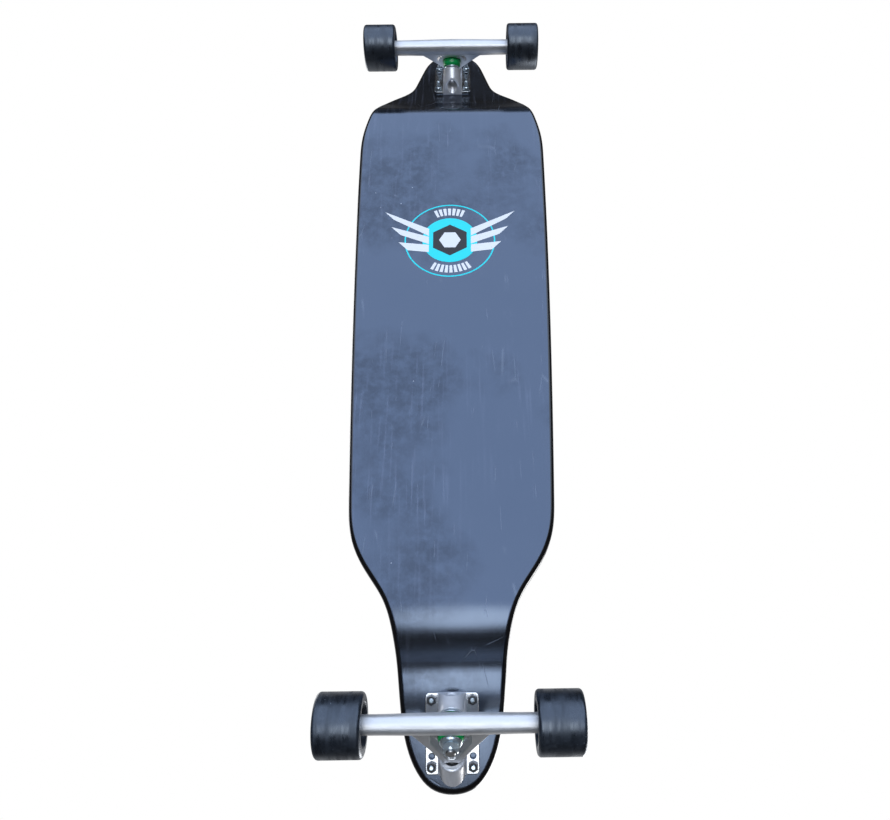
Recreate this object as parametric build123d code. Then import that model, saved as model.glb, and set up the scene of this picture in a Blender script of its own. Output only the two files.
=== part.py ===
from build123d import *
import math
import os

# Dropped-platform longboard: a bent wooden deck with grip tape, two reverse-kingpin
# trucks bolted under its upswept ends, and four soft wheels on ball bearings.
# Millimetres. +X is the board's right, +Y the nose, +Z up, wheels on the plane Z = 0,
# origin midway along and across the board.

# ---------------------------------------------------------------- driving dimensions
# Board
WHEELBASE = 920.0            # axle to axle
TAIL_OVERHANG = 61.0         # rear axle to the tail's tip
NOSE_OVERHANG = 100.0        # front axle to the nose's tip
DECK_THICKNESS = 13.5
GRIP_THICKNESS = 1.0
GRIP_INSET = 2.5             # the grip tape stops this far inside the deck's edge
MOUNT_HEIGHT = 61.0          # deck underside above each axle, measured straight up
MOUNT_TILT = 14.8            # degrees by which each mount rises outboard
PLATFORM_DROP = 40.0         # platform underside below the mount height
FOOT_FROM_AXLE = 58.5        # where the mount's underside meets the slope
CREST_FROM_AXLE = 99.0       # where the slope's underside meets the platform
FOOT_RADIUS = 62.0           # underside bend radii
REAR_CREST_RADIUS = 79.0
FRONT_CREST_RADIUS = 45.0

# Wheel and bearing
WHEEL_RADIUS = 30.0
WHEEL_WIDTH = 44.0
WHEEL_LIP_ROUND = 3.5
WHEEL_RECESS_RADIUS = 20.5   # recess in each side face, at the face
WHEEL_RECESS_FLOOR_RADIUS = 13.5
WHEEL_OFFSET = 1.0           # the tread's middle lies this far inboard of the hub's middle
CORE_RADIUS = 15.5
BEARING_OUTER_RADIUS = 11.0
BEARING_BORE_RADIUS = 4.0
BEARING_WIDTH = 7.0
BEARING_PITCH_RADIUS = 7.5
BALL_RADIUS = 1.98
BALL_COUNT = 7
BALL_GROOVE_CLEARANCE = 0.07
SPACER_LENGTH = 10.0
SPEED_WASHER_THICKNESS = 1.0
AXLE_CLEARANCE = 0.025
AXLE_NUT_WIDTH = 12.7        # across flats
AXLE_NUT_HEIGHT = 6.0
AXLE_TIP = 2.0               # axle standing out past its nut

# Hanger
HANGER_WIDTH = 180.0
HANGER_END_RADIUS = 9.4
HANGER_MIDDLE_RADIUS = 10.3
YOKE_THICKNESS = 11.0
YOKE_START_V = 1.0           # middle of the yoke's section where it leaves the crossbar
YOKE_START_RISE = 5.0        # and how far above the axle that is
# Half-widths of the yoke and of its window against the share of its length
YOKE_OUTLINE = [(44.0, 0.0), (36.0, 0.2), (22.5, 0.56), (11.5, 0.88), (8.0, 1.0)]
YOKE_WINDOW = [(19.5, 0.12), (19.8, 0.42), (3.5, 0.9)]
RING_RADIUS = 15.5
RING_WEB = 4.0               # solid web between the two bushings
RING_RIM = 2.5               # height of the rim round each bushing
RING_BORE_CLEARANCE = 2.3    # lets the hanger rock round the kingpin
SEAT_PLATE_RADIUS = 20.5
NOSE_RADIUS = 5.0
NOSE_CLEARANCE = 0.05

# Kingpin stack
KINGPIN_ANGLE = 45.0         # degrees from the deck, nut end outboard
KINGPIN_RADIUS = 4.76
KINGPIN_HEAD_RADIUS = 6.3
KINGPIN_HEAD_HEIGHT = 6.0
KINGPIN_TIP = 1.5
KINGPIN_NUT_WIDTH = 14.3
KINGPIN_NUT_HEIGHT = 7.5
BOARDSIDE_BUSHING_HEIGHT = 13.0
ROADSIDE_BUSHING_HEIGHT = 12.0
BUSHING_RADIUS = 12.7
BUSHING_NECK_RADIUS = 8.6
BUSHING_BORE_CLEARANCE = 0.2
CUP_WASHER_RADIUS = 10.9
CUP_WASHER_THICKNESS = 2.0
CUP_WASHER_LIP = 1.4

# Steering axis and baseplate, in the truck's own frame: v runs outboard along the deck,
# depth runs away from it, both from the foot of the perpendicular dropped from the axle
STEERING_ANGLE = 40.0        # degrees from the deck, rising outboard
RING_CENTRE_V = 9.6
RING_CENTRE_DEPTH = 40.5
BASE_LENGTH = 78.2
BASE_WIDTH = 54.0
BASE_THICKNESS = 4.5
BASE_CORNER = 4.0
SPINE_WIDTH = 27.0
SPINE_HEIGHT = 6.5
BOLT_SPACING_ACROSS = 41.3
BOLT_SPACING_LONG = 63.5
BOLT_SPACING_SHORT = 53.98
INNER_BOLTS_V = -12.5
BASE_INNER_MARGIN = 6.9      # plate beyond the inner bolt row
BOLT_HOLE_RADIUS = 2.75
BOSS_RADIUS = 12.6
BOSS_ROOF_DEPTH = 24.0       # depth of the boss's roof at the plate's inner end
BOSS_ROOF_ANGLE = 53.0
GUSSET_WIDTH = 15.2          # web between the plate and the boss's face
BOSS_WALL = 13.0             # from the boss's face to the seat of the kingpin's head
HEAD_POCKET_CLEARANCE = 0.4
PIVOT_HOUSING_RADIUS = 13.2
PIVOT_RIM = 42.0             # distances along the steering axis from the ring's centre
PIVOT_CUP_FLOOR = 51.5
PIVOT_FOOT_V = 56.0
PIVOT_CUP_RADIUS = 7.6
PIVOT_CUP_BOTTOM = 2.0
NOSE_END_GAP = 0.4
YOKE_RIM_GAP = 1.2           # between the yoke and the pivot housing's rim

# Truck mounting hardware
BOLT_RADIUS = 2.4
BOLT_HEAD_RADIUS = 4.7
BOLT_HEAD_HEIGHT = 2.6
REAR_BOLT_LENGTH = 25.4
FRONT_BOLT_LENGTH = 31.75
LOCK_NUT_WIDTH = 9.2
LOCK_NUT_HEIGHT = 5.0

# ---------------------------------------------------------------- worked out
deck_length = TAIL_OVERHANG + WHEELBASE + NOSE_OVERHANG
rear_axle_y = -deck_length / 2 + TAIL_OVERHANG
front_axle_y = rear_axle_y + WHEELBASE
mount_z = WHEEL_RADIUS + MOUNT_HEIGHT
tilt = math.radians(MOUNT_TILT)
axle_depth = MOUNT_HEIGHT * math.cos(tilt)
frame_shift = MOUNT_HEIGHT * math.sin(tilt)


def local(v, depth, x=0.0):
    """Point in the truck's own frame."""
    return Vector(x, v, -depth)


kingpin_dir = Vector(0, math.cos(math.radians(KINGPIN_ANGLE)), -math.sin(math.radians(KINGPIN_ANGLE)))
steer_dir = Vector(0, math.cos(math.radians(STEERING_ANGLE)), math.sin(math.radians(STEERING_ANGLE)))
ring_centre = local(RING_CENTRE_V, RING_CENTRE_DEPTH)
axle_point = local(0, axle_depth)
kingpin_plane = Plane(origin=ring_centre, x_dir=(1, 0, 0), z_dir=kingpin_dir)
steer_plane = Plane(origin=ring_centre, x_dir=(1, 0, 0), z_dir=steer_dir)
axle_plane = Plane(origin=axle_point, x_dir=(0, 1, 0), z_dir=(1, 0, 0))

# Stations along the kingpin, counted from the ring's centre
boardside_seat = -RING_WEB / 2
roadside_seat = RING_WEB / 2
boss_face = boardside_seat - BOARDSIDE_BUSHING_HEIGHT - CUP_WASHER_THICKNESS
roadside_top = roadside_seat + ROADSIDE_BUSHING_HEIGHT
nut_seat = roadside_top + CUP_WASHER_THICKNESS
kingpin_end = nut_seat + KINGPIN_NUT_HEIGHT + KINGPIN_TIP
head_seat = boss_face - BOSS_WALL
head_end = head_seat - KINGPIN_HEAD_HEIGHT

# Stations along the axle, counted from the middle of the truck
hanger_face = HANGER_WIDTH / 2
inner_bearing = hanger_face + SPEED_WASHER_THICKNESS
outer_bearing = inner_bearing + BEARING_WIDTH + SPACER_LENGTH
hub_end = outer_bearing + BEARING_WIDTH
hub_middle = (inner_bearing + hub_end) / 2
nut_face = hub_end + SPEED_WASHER_THICKNESS
axle_end = nut_face + AXLE_NUT_HEIGHT + AXLE_TIP
wheel_middle = hub_middle - WHEEL_OFFSET
wheel_inner_face = wheel_middle - WHEEL_WIDTH / 2
wheel_outer_face = wheel_middle + WHEEL_WIDTH / 2

base_inner_v = INNER_BOLTS_V - BASE_INNER_MARGIN
base_outer_v = base_inner_v + BASE_LENGTH
bolt_rows = [INNER_BOLTS_V, INNER_BOLTS_V + BOLT_SPACING_LONG]
empty_row = INNER_BOLTS_V + BOLT_SPACING_SHORT
bolt_columns = [-BOLT_SPACING_ACROSS / 2, BOLT_SPACING_ACROSS / 2]


# ---------------------------------------------------------------- small helpers
def rod(plane, radius, start, end):
    """Cylinder on a plane's normal between two heights."""
    section = plane.offset(start) * Circle(radius)
    return extrude(section, amount=end - start, dir=plane.z_dir)


def tube(plane, outer, inner, start, end):
    return rod(plane, outer, start, end) - rod(plane, inner, start - 1, end + 1)


def hex_nut(plane, width, bore, start, height):
    """Hexagonal nut with its corners turned towards the plane's y axis."""
    section = plane.offset(start) * RegularPolygon(width / 2, 6, major_radius=False, rotation=30)
    body = extrude(section, amount=height, dir=plane.z_dir)
    corner_radius = width / 2 / math.cos(math.radians(30))
    blank = chamfer(rod(plane, corner_radius, start, start + height).edges(), 0.12 * width)
    return (body & blank) - rod(plane, bore, start - 1, start + height + 1)


def spun(plane, points):
    """Solid of revolution about a plane's normal, from (radius, height) corners."""
    corners = [plane.origin + plane.x_dir * r + plane.z_dir * h for r, h in points]
    return revolve(make_face(Polyline(*corners, close=True)), Axis(plane.origin, plane.z_dir))


def below_deck(v_low, v_high, half_width, depth):
    """Block under the deck between two stations, as deep as given."""
    block = Box(2 * half_width, v_high - v_low, depth)
    return Pos(0, (v_low + v_high) / 2, -depth / 2) * block


# ---------------------------------------------------------------- deck
def side_line(rise):
    """Deck's long profile, as (y, z) corners, raised square to its surface by rise."""
    slope_fall = PLATFORM_DROP - FOOT_FROM_AXLE * math.tan(tilt)
    slope_angle = math.atan2(slope_fall, CREST_FROM_AXLE - FOOT_FROM_AXLE)
    foot_z = mount_z - FOOT_FROM_AXLE * math.tan(tilt)
    past_tip = 20.0
    run = TAIL_OVERHANG + past_tip
    nose_run = NOSE_OVERHANG + past_tip
    foot_shift = math.tan((slope_angle - tilt) / 2)
    crest_shift = math.tan(slope_angle / 2)
    foot_step = rise * (math.sin(tilt) + foot_shift * math.cos(tilt))
    foot_up = rise * (math.cos(tilt) - foot_shift * math.sin(tilt))
    platform_z = mount_z - PLATFORM_DROP
    return [
        (rear_axle_y - run, mount_z + run * math.tan(tilt) + rise / math.cos(tilt)),
        (rear_axle_y + FOOT_FROM_AXLE + foot_step, foot_z + foot_up),
        (rear_axle_y + CREST_FROM_AXLE + rise * crest_shift, platform_z + rise),
        (front_axle_y - CREST_FROM_AXLE - rise * crest_shift, platform_z + rise),
        (front_axle_y - FOOT_FROM_AXLE - foot_step, foot_z + foot_up),
        (front_axle_y + nose_run, mount_z + nose_run * math.tan(tilt) + rise / math.cos(tilt)),
    ]


def slab(low, high, half_width):
    """Bent sheet between two heights above the deck's underside."""
    edges = []
    for rise in (low, high):
        corners = [Vector(0, y, z) for y, z in side_line(rise)]
        foot = FOOT_RADIUS + rise
        bends = [foot, REAR_CREST_RADIUS - rise, FRONT_CREST_RADIUS - rise, foot]
        edges.append(FilletPolyline(*corners, radius=bends))
    ends = [Line(edges[0] @ end, edges[1] @ end) for end in (0, 1)]
    face = make_face(edges[0].edges() + edges[1].edges() + ends[0].edges() + ends[1].edges())
    return extrude(face, amount=half_width, dir=(1, 0, 0), both=True)


# Half-widths of the plan outline: distance forward of the rear axle, half-width
TAIL_OUTLINE = [(-55.0, 22.5), (-40.0, 36.3), (-18.0, 46.0), (26.0, 53.6), (82.0, 59.3),
                (121.0, 70.2), (163.0, 96.4), (195.0, 108.8), (232.0, 112.6)]
# and distance back from the front axle, half-width
NOSE_OUTLINE = [(190.0, 126.4), (150.0, 125.2), (115.0, 118.6), (85.0, 110.6), (60.0, 102.0),
                (40.0, 82.5), (21.0, 63.6), (-5.0, 55.0), (-43.0, 47.0), (-72.0, 38.6), (-92.0, 24.0)]


def outline(inset):
    """Plan outline, closed, drawn in from the deck's edge by inset."""
    right = [(w - inset, rear_axle_y + d) for d, w in TAIL_OUTLINE]
    right += [(w - inset, front_axle_y - d) for d, w in NOSE_OUTLINE]
    left = [(-x, y) for x, y in reversed(right)]
    tail_tip = (0, rear_axle_y - TAIL_OVERHANG + inset)
    nose_tip = (0, front_axle_y + NOSE_OVERHANG - inset)
    return make_face(Spline([tail_tip] + right + [nose_tip] + left, periodic=True))


def bolt_places():
    """Mounting bolt planes in the truck's own frame, normals pointing down out of the deck."""
    return [Plane(origin=(x, v, 0), x_dir=(1, 0, 0), z_dir=(0, 0, -1)) for v in bolt_rows for x in bolt_columns]


def countersunk(plane, head_radius, radius, length):
    """Flat-headed bolt blank whose head is flush with the top of the grip tape."""
    top = -DECK_THICKNESS - GRIP_THICKNESS
    neck = top + BOLT_HEAD_HEIGHT
    end = top + length
    return spun(plane, [(0, top), (head_radius, top), (head_radius, top + 0.4), (radius, neck),
                        (radius, end), (0, end)])


def build_deck(locations):
    width = max(w for _, w in TAIL_OUTLINE + NOSE_OUTLINE) + 10
    board = slab(0, DECK_THICKNESS, width) & extrude(outline(0), amount=3 * mount_z)
    for location in locations:
        for place in bolt_places():
            hole = countersunk(place, BOLT_HEAD_RADIUS + 0.3, BOLT_HOLE_RADIUS, FRONT_BOLT_LENGTH)
            board -= location * hole
    return board


def build_grip(locations):
    width = max(w for _, w in TAIL_OUTLINE + NOSE_OUTLINE) + 10
    top = DECK_THICKNESS + GRIP_THICKNESS
    sheet = slab(DECK_THICKNESS, top, width) & extrude(outline(GRIP_INSET), amount=3 * mount_z)
    for location in locations:
        for place in bolt_places():
            sheet -= location * rod(place, BOLT_HEAD_RADIUS + 0.3, -3 * DECK_THICKNESS, 0)
    return sheet


# ---------------------------------------------------------------- truck, in its own frame
def build_baseplate():
    middle = (base_inner_v + base_outer_v) / 2
    plate = Pos(0, middle) * RectangleRounded(BASE_WIDTH, BASE_LENGTH, BASE_CORNER)
    base = extrude(plate, amount=-BASE_THICKNESS)
    base += below_deck(base_inner_v, base_outer_v, SPINE_WIDTH / 2, SPINE_HEIGHT)

    roof = math.radians(BOSS_ROOF_ANGLE)
    roof_dir = Vector(0, math.cos(roof), -math.sin(roof))
    boss_axis = local(base_inner_v + BOSS_RADIUS * math.sin(roof), BOSS_ROOF_DEPTH - BOSS_RADIUS * math.cos(roof))
    boss_plane = Plane(origin=boss_axis, x_dir=(1, 0, 0), z_dir=roof_dir)
    face_point = ring_centre + kingpin_dir * boss_face
    keep = rod(Plane(origin=face_point, x_dir=(1, 0, 0), z_dir=kingpin_dir), BASE_LENGTH, -BASE_LENGTH, 0)
    bounds = below_deck(base_inner_v, base_outer_v, BASE_WIDTH, 2 * axle_depth)
    boss = rod(boss_plane, BOSS_RADIUS, -2 * BOSS_ROOF_DEPTH, 2 * BOSS_ROOF_DEPTH) & keep & bounds
    face_depth = -face_point.Z
    gusset = [(base_inner_v, 0), (0.55 * face_depth, 0), (face_point.Y + 4, 0.62 * face_depth),
              (face_point.Y - 2, 0.8 * face_depth)]
    gusset_face = make_face(Polyline(*[local(v, depth) for v, depth in gusset], close=True))
    base += boss + extrude(gusset_face, amount=GUSSET_WIDTH / 2, dir=(1, 0, 0), both=True)

    foot = Pos(0, PIVOT_FOOT_V) * Circle(PIVOT_HOUSING_RADIUS)
    foot += Pos(0, PIVOT_FOOT_V / 2) * Rectangle(2 * PIVOT_HOUSING_RADIUS, PIVOT_FOOT_V)
    shadow = extrude(foot, amount=-axle_depth)
    housing = rod(steer_plane, PIVOT_HOUSING_RADIUS, PIVOT_RIM, PIVOT_RIM + 2 * PIVOT_HOUSING_RADIUS + PIVOT_FOOT_V)
    housing = chamfer(housing.faces().sort_by(Axis(ring_centre, steer_dir))[0].edges(), 1.5) & shadow
    base += housing

    base -= rod(steer_plane, PIVOT_CUP_RADIUS, PIVOT_RIM - 5, PIVOT_CUP_FLOOR)
    base -= rod(kingpin_plane, KINGPIN_RADIUS, boss_face - BASE_LENGTH, boss_face + 1)
    base -= rod(kingpin_plane, KINGPIN_HEAD_RADIUS + HEAD_POCKET_CLEARANCE, boss_face - BASE_LENGTH, head_seat)
    for x in bolt_columns:
        for v in bolt_rows + [empty_row]:
            base -= Pos(x, v, 0) * Cylinder(BOLT_HOLE_RADIUS, 4 * BASE_THICKNESS)
    return base


def build_pivot_cup():
    rim = 0.3
    bore = NOSE_RADIUS + NOSE_CLEARANCE
    floor = PIVOT_CUP_FLOOR - PIVOT_CUP_BOTTOM
    return spun(steer_plane, [(bore, PIVOT_RIM - rim), (PIVOT_CUP_RADIUS, PIVOT_RIM - rim),
                              (PIVOT_CUP_RADIUS, PIVOT_CUP_FLOOR), (0, PIVOT_CUP_FLOOR), (0, floor),
                              (bore, floor)])


def build_kingpin():
    shank = rod(kingpin_plane, KINGPIN_RADIUS, head_end, kingpin_end)
    return shank + rod(kingpin_plane, KINGPIN_HEAD_RADIUS, head_end, head_seat)


def build_bushing(seat, height):
    """Barrel bushing: flat on the ring's seat, coned towards its cup washer."""
    way = 1 if height > 0 else -1
    bore = KINGPIN_RADIUS + BUSHING_BORE_CLEARANCE
    top = seat + height
    return spun(kingpin_plane, [(bore, seat), (BUSHING_RADIUS - 0.6, seat), (BUSHING_RADIUS, seat + way * 1.2),
                                (BUSHING_RADIUS, top - way * 3.6), (BUSHING_NECK_RADIUS, top), (bore, top)])


def build_cup_washer(face, way):
    """Cup washer: flat on the bushing's end, lipped over its coned edge."""
    bore = KINGPIN_RADIUS + BUSHING_BORE_CLEARANCE / 2
    outer = face + way * CUP_WASHER_THICKNESS
    flat = BUSHING_NECK_RADIUS + 0.5
    lip = way * CUP_WASHER_LIP
    return spun(kingpin_plane, [(bore, face), (flat, face), (CUP_WASHER_RADIUS, face - lip),
                                (CUP_WASHER_RADIUS, face - lip + way * 1.2),
                                (flat, outer), (bore, outer)])


def build_hanger():
    steps = [(-hanger_face, HANGER_END_RADIUS), (-0.66 * hanger_face, HANGER_END_RADIUS + 0.1),
             (-0.3 * hanger_face, HANGER_MIDDLE_RADIUS - 0.2), (0, HANGER_MIDDLE_RADIUS)]
    steps += [(-x, r) for x, r in reversed(steps[:-1])]
    upper = Spline([axle_point + Vector(x, 0, r) for x, r in steps], tangents=[(1, 0, 0), (1, 0, 0)])
    ends = Polyline(upper @ 1, axle_point + Vector(hanger_face, 0, 0), axle_point + Vector(-hanger_face, 0, 0),
                    upper @ 0)
    bar = revolve(make_face(upper.edges() + ends.edges()), Axis(axle_point, (1, 0, 0)))

    seat = rod(kingpin_plane, RING_RADIUS, -RING_WEB / 2 - RING_RIM, RING_WEB / 2 + RING_RIM)
    plate = rod(kingpin_plane, SEAT_PLATE_RADIUS, -RING_WEB / 2 - RING_RIM, -RING_WEB / 2 + 1)

    start = local(YOKE_START_V, axle_depth - YOKE_START_RISE)
    tip = ring_centre + steer_dir * (PIVOT_RIM - YOKE_RIM_GAP)
    yoke_dir = (tip - start).normalized()
    length = (tip - start).length
    yoke_plane = Plane(origin=start, x_dir=(1, 0, 0), z_dir=Vector(1, 0, 0).cross(yoke_dir))

    def across(half_widths, thickness):
        right = [(x, share * length) for x, share in half_widths]
        left = [(-x, y) for x, y in reversed(right)]
        corners = [yoke_plane.from_local_coords((x, y, 0)) for x, y in right + left]
        return extrude(make_face(Polyline(*corners, close=True)), amount=thickness, dir=yoke_plane.z_dir,
                       both=True)

    arms = across(YOKE_OUTLINE, YOKE_THICKNESS / 2) - across(YOKE_WINDOW, YOKE_THICKNESS)
    body = bar + arms + ((seat + plate) - rod(steer_plane, 200, PIVOT_RIM - YOKE_RIM_GAP, 200))

    nose_end = PIVOT_CUP_FLOOR - PIVOT_CUP_BOTTOM - NOSE_END_GAP
    body += rod(steer_plane, NOSE_RADIUS, PIVOT_RIM - 8, nose_end)
    body -= rod(kingpin_plane, BUSHING_RADIUS + 0.5, roadside_seat, 3 * BUSHING_RADIUS)
    body -= rod(kingpin_plane, BUSHING_RADIUS + 0.5, -3 * BUSHING_RADIUS, boardside_seat)
    body -= rod(kingpin_plane, KINGPIN_RADIUS + RING_BORE_CLEARANCE, -BUSHING_RADIUS, BUSHING_RADIUS)
    body -= rod(axle_plane, BEARING_BORE_RADIUS, -hanger_face - 1, hanger_face + 1)
    return body


def build_truck(bolt_length):
    """Everything a truck is made of except its wheels, by node name."""
    bolts = []
    nuts = []
    for place in bolt_places():
        bolts.append(countersunk(place, BOLT_HEAD_RADIUS, BOLT_RADIUS, bolt_length))
        nuts.append(hex_nut(place, LOCK_NUT_WIDTH, BOLT_RADIUS, BASE_THICKNESS, LOCK_NUT_HEIGHT))
    return {
        "baseplate": [build_baseplate()],
        "pivot_cup": [build_pivot_cup()],
        "kingpin": [build_kingpin()],
        "kingpin_nut": [hex_nut(kingpin_plane, KINGPIN_NUT_WIDTH, KINGPIN_RADIUS, nut_seat, KINGPIN_NUT_HEIGHT)],
        "boardside_bushing": [build_bushing(boardside_seat, -BOARDSIDE_BUSHING_HEIGHT)],
        "roadside_bushing": [build_bushing(roadside_seat, ROADSIDE_BUSHING_HEIGHT)],
        "boardside_washer": [build_cup_washer(boardside_seat - BOARDSIDE_BUSHING_HEIGHT, -1)],
        "roadside_washer": [build_cup_washer(roadside_top, 1)],
        "hanger": [build_hanger()],
        "axle": [rod(axle_plane, BEARING_BORE_RADIUS - AXLE_CLEARANCE, -axle_end, axle_end)],
        "mounting_bolts": bolts,
        "lock_nuts": nuts,
    }


# ---------------------------------------------------------------- wheel, on the axle's +X end
def bearing_rings(start):
    """Outer ring with its two shields, inner ring and balls of one bearing."""
    middle = start + BEARING_WIDTH / 2
    end = start + BEARING_WIDTH
    shield = 0.4
    shield_bore = BEARING_PITCH_RADIUS - 1.1
    outer_bore = BEARING_PITCH_RADIUS + 1.4
    inner_land = BEARING_PITCH_RADIUS - 1.4
    groove_centre = axle_point + Vector(middle, 0, 0)
    groove = Plane(groove_centre, x_dir=(0, 1, 0), z_dir=(1, 0, 0)) * Torus(
        BEARING_PITCH_RADIUS, BALL_RADIUS + BALL_GROOVE_CLEARANCE)
    outer = tube(axle_plane, BEARING_OUTER_RADIUS, outer_bore, start, end) - groove
    for face in (start, end - shield):
        outer += tube(axle_plane, outer_bore + 0.1, shield_bore, face, face + shield)
    inner = tube(axle_plane, inner_land, BEARING_BORE_RADIUS, start, end) - groove
    balls = []
    for step in range(BALL_COUNT):
        turn = 2 * math.pi * step / BALL_COUNT
        reach = Vector(0, math.cos(turn), math.sin(turn)) * BEARING_PITCH_RADIUS
        balls.append(Pos(*(groove_centre + reach)) * Sphere(BALL_RADIUS))
    return outer, inner, balls


def build_tyre():
    lip = WHEEL_LIP_ROUND
    edge = WHEEL_RADIUS - lip
    section = [(CORE_RADIUS, inner_bearing), (WHEEL_RECESS_FLOOR_RADIUS + 3, inner_bearing - 1),
               (WHEEL_RECESS_RADIUS, wheel_inner_face), (edge, wheel_inner_face),
               (WHEEL_RADIUS - 0.3 * lip, wheel_inner_face + 0.3 * lip),
               (WHEEL_RADIUS, wheel_inner_face + lip), (WHEEL_RADIUS, wheel_outer_face - lip),
               (WHEEL_RADIUS - 0.3 * lip, wheel_outer_face - 0.3 * lip), (edge, wheel_outer_face),
               (WHEEL_RECESS_RADIUS, wheel_outer_face), (WHEEL_RECESS_FLOOR_RADIUS + 3, hub_end + 1),
               (CORE_RADIUS, hub_end)]
    wheel_plane = Plane(origin=axle_point, x_dir=(0, 1, 0), z_dir=(1, 0, 0))
    return spun(wheel_plane, section)


def build_core():
    shoulder = BEARING_OUTER_RADIUS - 1.5
    core = tube(axle_plane, CORE_RADIUS, shoulder, inner_bearing, hub_end)
    core -= rod(axle_plane, BEARING_OUTER_RADIUS, inner_bearing - 1, inner_bearing + BEARING_WIDTH)
    return core - rod(axle_plane, BEARING_OUTER_RADIUS, outer_bearing, hub_end + 1)


def build_wheel():
    """One wheel with its bearings: what spins, and what stays on the axle."""
    first = bearing_rings(inner_bearing)
    second = bearing_rings(outer_bearing)
    return {
        "tyre": [build_tyre()],
        "core": [build_core()],
        "bearing_outers": [first[0], second[0]],
        "bearing_balls": first[2] + second[2],
        "bearing_inners": [first[1], second[1]],
    }


def build_axle_hardware():
    spacer_start = inner_bearing + BEARING_WIDTH
    land = BEARING_PITCH_RADIUS - 1.6
    return {
        "spacers": [tube(axle_plane, land, BEARING_BORE_RADIUS, spacer_start, spacer_start + SPACER_LENGTH)],
        "speed_washers": [tube(axle_plane, land, BEARING_BORE_RADIUS, face, face + SPEED_WASHER_THICKNESS)
                          for face in (hanger_face, hub_end)],
        "axle_nuts": [hex_nut(axle_plane, AXLE_NUT_WIDTH, BEARING_BORE_RADIUS, nut_face, AXLE_NUT_HEIGHT)],
    }


# ---------------------------------------------------------------- the whole board
def truck_location(axle_y, turn):
    """Place of a truck's own frame: front as it is, rear turned half round."""
    foot_y = abs(axle_y) - frame_shift * math.cos(tilt)
    foot_z = mount_z - frame_shift * math.sin(tilt)
    return Rot(0, 0, turn) * Pos(0, foot_y, foot_z) * Rot(MOUNT_TILT, 0, 0)


def place(location, solids):
    return [location * solid for solid in solids]


def save(name, solids):
    shape = solids[0] if len(solids) == 1 else Compound(children=solids)
    export_step(shape, f"parts/{name}.step")


def main():
    os.makedirs("parts", exist_ok=True)
    front = truck_location(front_axle_y, 0)
    rear = truck_location(rear_axle_y, 180)
    save("deck", [build_deck([front, rear])])
    save("grip_tape", [build_grip([front, rear])])
    wheel = build_wheel()
    hardware = build_axle_hardware()
    half_turn = Rot(0, 0, 180)
    for end, location, bolt_length in (("front", front, FRONT_BOLT_LENGTH), ("rear", rear, REAR_BOLT_LENGTH)):
        for name, solids in build_truck(bolt_length).items():
            save(f"{end}_{name}", place(location, solids))
        axle_spin = Pos(*axle_point) * half_turn * Pos(*(-axle_point))
        for name, solids in hardware.items():
            save(f"{end}_{name}", place(location, solids + place(axle_spin, solids)))
        for side in ("right", "left"):
            on_right = (side == "right") == (end == "front")
            turned = location if on_right else location * axle_spin
            for name, solids in wheel.items():
                save(f"{end}_{side}_{name}", place(turned, solids))


if __name__ == "__main__":
    main()
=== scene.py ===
import math

import bmesh
import bpy
import numpy as np
from mathutils import Matrix, Vector


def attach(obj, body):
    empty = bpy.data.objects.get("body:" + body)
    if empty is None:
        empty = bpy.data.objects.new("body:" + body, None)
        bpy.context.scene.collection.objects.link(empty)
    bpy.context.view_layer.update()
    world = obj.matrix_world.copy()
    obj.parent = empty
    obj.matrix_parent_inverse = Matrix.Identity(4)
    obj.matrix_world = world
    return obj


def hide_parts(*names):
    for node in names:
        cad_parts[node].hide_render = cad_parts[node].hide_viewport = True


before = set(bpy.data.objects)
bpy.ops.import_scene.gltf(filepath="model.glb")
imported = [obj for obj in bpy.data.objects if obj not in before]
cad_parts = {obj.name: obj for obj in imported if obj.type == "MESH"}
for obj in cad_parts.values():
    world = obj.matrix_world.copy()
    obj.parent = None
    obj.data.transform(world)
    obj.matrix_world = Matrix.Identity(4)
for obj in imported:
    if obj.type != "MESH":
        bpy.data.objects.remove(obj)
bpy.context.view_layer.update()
bpy.context.scene.view_settings.view_transform = "Standard"

MM = 0.001

# The board in millimetres: y runs from the tail to the nose, and z goes up from the ground.
TAIL_TIP, REAR_AXLE, FRONT_AXLE, NOSE_TIP = -540.5, -479.5, 440.5, 540.5
HUB = 30.0  # the axles' height, which is the wheels' radius
MOUNT_Z = 91.0  # the deck's underside over each axle
DROP = 40.0  # from there down to the platform's underside
PLATFORM = MOUNT_Z - DROP
TILT = math.radians(14.8)  # how steeply the ends rise
DECK_THICKNESS = 13.5
FOOT, CREST = 58.5, 99.0  # where the steep slope starts and stops, inboard of each axle
FOOT_RADIUS, REAR_CREST_RADIUS, FRONT_CREST_RADIUS = 62.0, 79.0, 45.0  # bends of the underside
UNDER_ROUND, TOP_ROUND = 6.0, 1.6  # the rim's round-overs

# The trucks, in each truck's own frame: v runs outboard along the mount, depth goes away from the deck.
MOUNT_RISE = MOUNT_Z - HUB
FOOT_SHIFT = MOUNT_RISE * math.sin(TILT)
RING_V, RING_DEPTH = 9.6, 40.5  # the bushing ring's centre
BOLT_ROWS, BOLT_COLUMNS = (-12.5, 51.0), (-20.65, 20.65)
BOSS_HALF_WIDTH, FLANGE_DEPTH = 14.2, 5.2  # the middle strip and all below the flange are brushed
CROSSBAR_HALF = 89.8
CROSSBAR_POWER = 2.6  # 2 is a round section, and more is squarer
CROSSBAR_PLACES = [0, 12, 27, 45, 60, 90]
CROSSBAR_RADII = [10.3, 10.25, 10.05, 9.75, 9.5, 9.3]
CROSSBAR_SQUASH_Y, CROSSBAR_SQUASH_Z = 0.965, 0.97

ENDS = {"front": FRONT_AXLE, "rear": REAR_AXLE}
SIDES = {"left": -1, "right": 1}


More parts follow.
